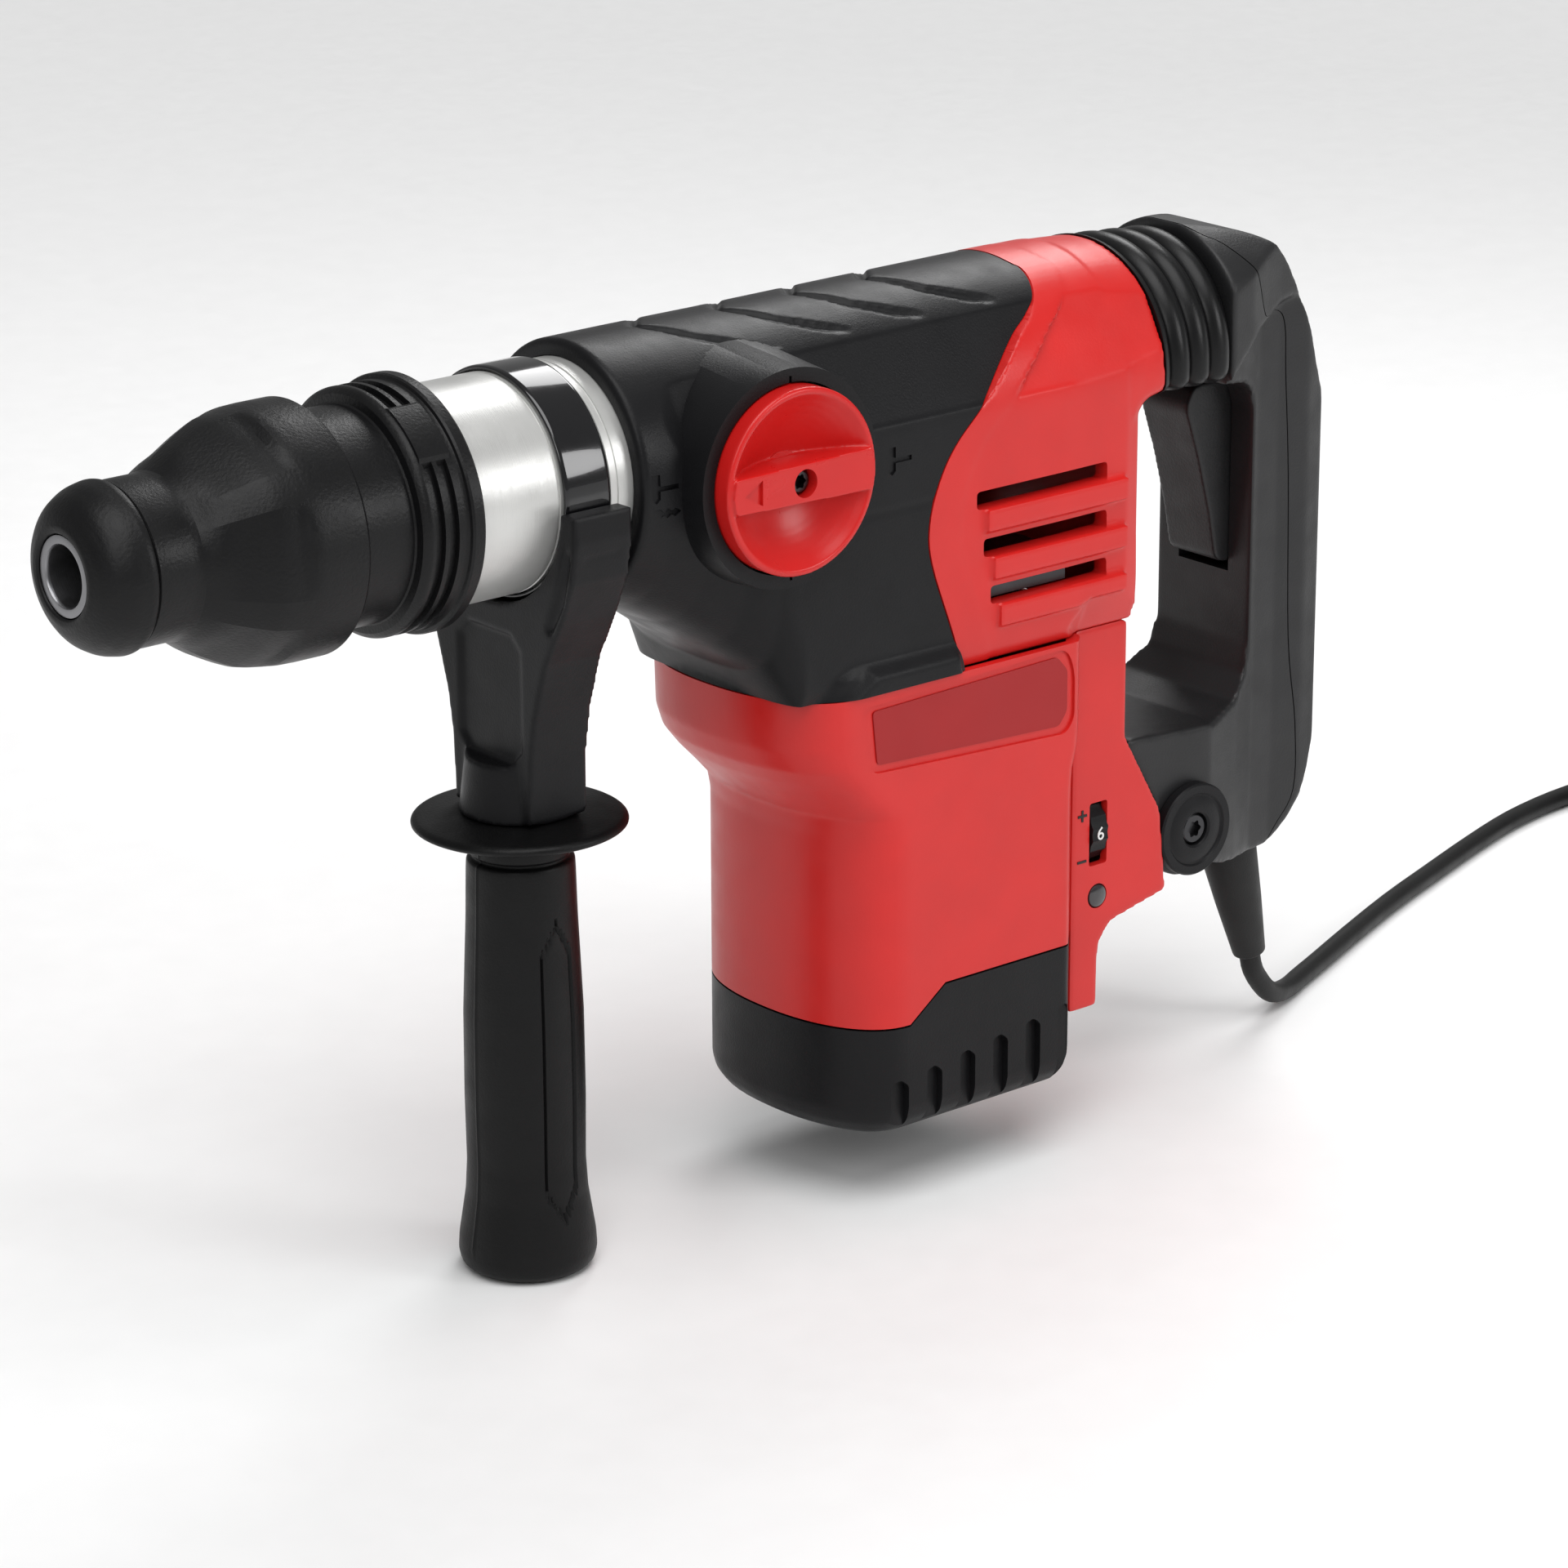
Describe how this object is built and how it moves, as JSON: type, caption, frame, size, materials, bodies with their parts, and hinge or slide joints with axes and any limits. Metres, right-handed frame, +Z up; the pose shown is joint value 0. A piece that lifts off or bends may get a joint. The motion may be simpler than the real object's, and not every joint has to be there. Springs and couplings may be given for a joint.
{
  "type": "demolition hammer",
  "caption": "Corded combination and demolition hammer with bit holder, mode knob, swivelling side handle, sprung D-handle, geared motor and crank-driven hammer train.",
  "frame": {"origin": "middle of the tool seen from above, without the cord, on the floor under the end of the side handle", "axes": "+X along the tool axis from the bit holder towards the rear handle, +Y away from the mode knob, +Z up"},
  "size_m": [0.861, 0.1577, 0.299],
  "materials": {
    "red_plastic": "bright red nylon with a fine moulded grain",
    "black_plastic": "charcoal black nylon with a fine moulded grain",
    "chuck_plastic": "satin charcoal moulded sleeve",
    "chuck_rubber": "soft satin black dust cap",
    "grip_rubber": "soft black overmould",
    "bellows_rubber": "black ribbed bellows",
    "cord_rubber": "black sheathing",
    "gloss_band": "glossy black clamping band",
    "satin_barrel": "satin pale machined",
    "holder_steel": "ground steel",
    "spring_steel": "bright steel",
    "dark_steel": "dark hardened steel",
    "cast_aluminium": "cast and machined",
    "copper": null,
    "carbon": "dull carbon",
    "dark_lens": "dark indicator lens, unlit",
    "label_red": "plain darker red panel",
    "board_green": "green circuit board",
    "plug_metal": "nickelled brass pins"
  },
  "bodies": {
    "housing": {"barrel": "satin_barrel", "front_bearing": "spring_steel", "rear_bearing": "spring_steel", "gear_cover": "black_plastic", "rear_shell": "red_plastic", "motor_housing": "red_plastic", "vent_cap": "black_plastic", "electronics_cover": "red_plastic", "indicator_lens": "dark_lens", "label_plate": "label_red", "circuit_board": "board_green", "bearing_plate": "cast_aluminium", "gear_frame": "cast_aluminium", "motor_bearing_upper": "spring_steel", "motor_bearing_lower": "spring_steel", "stator": "dark_steel", "field_coils": "copper", "carbon_brush_left": "carbon", "carbon_brush_right": "carbon", "pivot_bracket": "cast_aluminium", "pivot_pin": "spring_steel", "bellows": "bellows_rubber", "damper_spring": "spring_steel", "cord": "cord_rubber", "cord_coil": "cord_rubber", "plug_body": "cord_rubber", "plug_pin_left": "plug_metal", "plug_pin_right": "plug_metal"},
    "spindle": {"spindle_tube": "holder_steel", "nose_cap": "chuck_rubber", "ribbed_collar": "chuck_plastic", "bevel_ring": "dark_steel", "sleeve_spring": "spring_steel"},
    "sleeve": {"locking_sleeve": "chuck_plastic"},
    "beat_piece": {"beat_piece": "dark_steel"},
    "striker": {"striker": "dark_steel"},
    "piston": {"piston": "dark_steel"},
    "connecting_rod": {"connecting_rod": "cast_aluminium"},
    "crank": {"crank_shaft": "dark_steel", "crank_gear": "dark_steel"},
    "bevel_shaft": {"bevel_pinion_shaft": "dark_steel", "intermediate_gear": "dark_steel"},
    "rotor": {"rotor": "dark_steel", "commutator": "copper", "cooling_fan": "black_plastic"},
    "side_handle": {"clamp_band": "gloss_band", "aux_yoke": "black_plastic", "aux_bolt": "spring_steel"},
    "side_grip": {"aux_grip": "grip_rubber"},
    "mode_knob": {"selector_knob": "red_plastic", "knob_screw": "dark_steel"},
    "dial": {"speed_dial": "black_plastic"},
    "rear_handle": {"handle_frame": "black_plastic", "handle_cover": "grip_rubber", "switch": "black_plastic", "pivot_disc_near": "black_plastic", "pivot_disc_far": "black_plastic", "pivot_screw": "dark_steel", "strain_relief": "cord_rubber"},
    "trigger": {"trigger": "black_plastic"}
  },
  "joints": [
    {"name": "spindle_spin", "type": "hinge", "parent": "housing", "child": "spindle", "pos_m": [-0.15, 0.00625, 0.258], "axis": [1, 0, 0], "continuous": true},
    {"name": "sleeve_slide", "type": "slide", "parent": "spindle", "child": "sleeve", "axis": [1, 0, 0], "range_m": [0, 0.012], "stiffness_N_per_m": 1500, "springref_m": -0.006, "deforming": ["sleeve_spring"]},
    {"name": "beat_piece_slide", "type": "slide", "parent": "spindle", "child": "beat_piece", "axis": [1, 0, 0], "range_m": [0, 0.006]},
    {"name": "striker_slide", "type": "slide", "parent": "spindle", "child": "striker", "axis": [1, 0, 0], "range_m": [-0.02, 0.008]},
    {"name": "piston_slide", "type": "slide", "parent": "housing", "child": "piston", "axis": [1, 0, 0], "range_m": [0, 0.024]},
    {"name": "rod_swing", "type": "hinge", "parent": "piston", "child": "connecting_rod", "pos_m": [0.012, 0.00625, 0.258], "axis": [0, 0, 1], "range_deg": [-11.2, 11.2]},
    {"name": "crank_spin", "type": "hinge", "parent": "housing", "child": "crank", "pos_m": [0.086, 0.00625, 0.198], "axis": [0, 0, 1], "continuous": true},
    {"name": "bevel_shaft_spin", "type": "hinge", "parent": "housing", "child": "bevel_shaft", "pos_m": [0.02, 0.00625, 0.198], "axis": [0, 0, 1], "continuous": true},
    {"name": "rotor_spin", "type": "hinge", "parent": "housing", "child": "rotor", "pos_m": [0.056, 0.00625, 0.108], "axis": [0, 0, 1], "continuous": true},
    {"name": "side_handle_swivel", "type": "hinge", "parent": "housing", "child": "side_handle", "pos_m": [-0.089, 0.00625, 0.258], "axis": [1, 0, 0], "continuous": true},
    {"name": "side_grip_twist", "type": "hinge", "parent": "side_handle", "child": "side_grip", "pos_m": [-0.089, 0.00625, 0.108], "axis": [0, 0, 1], "range_deg": [0, 360]},
    {"name": "mode_knob_turn", "type": "hinge", "parent": "housing", "child": "mode_knob", "pos_m": [-0.021, -0.04375, 0.256], "axis": [0, 1, 0], "range_deg": [0, 180]},
    {"name": "speed_dial_turn", "type": "hinge", "parent": "housing", "child": "dial", "pos_m": [0.1225, -0.02025, 0.106], "axis": [1, 0, 0], "range_deg": [0, 300]},
    {"name": "rear_handle_tilt", "type": "hinge", "parent": "housing", "child": "rear_handle", "pos_m": [0.168, 0.00625, 0.097], "axis": [0, -1, 0], "range_deg": [0, 1.7], "stiffness_Nm_per_rad": 600, "springref_deg": -0.57, "deforming": ["bellows", "damper_spring"]},
    {"name": "trigger_press", "type": "hinge", "parent": "rear_handle", "child": "trigger", "pos_m": [0.206, 0.00625, 0.182], "axis": [0, 1, 0], "range_deg": [0, 6], "stiffness_Nm_per_rad": 1.5, "springref_deg": -6.88}
  ],
  "couplings": [
    {"joint": "bevel_shaft_spin", "follows": "spindle_spin", "ratio": -2.5},
    {"joint": "rotor_spin", "follows": "spindle_spin", "ratio": 12.5},
    {"joint": "crank_spin", "follows": "spindle_spin", "ratio": -3.125}
  ]
}
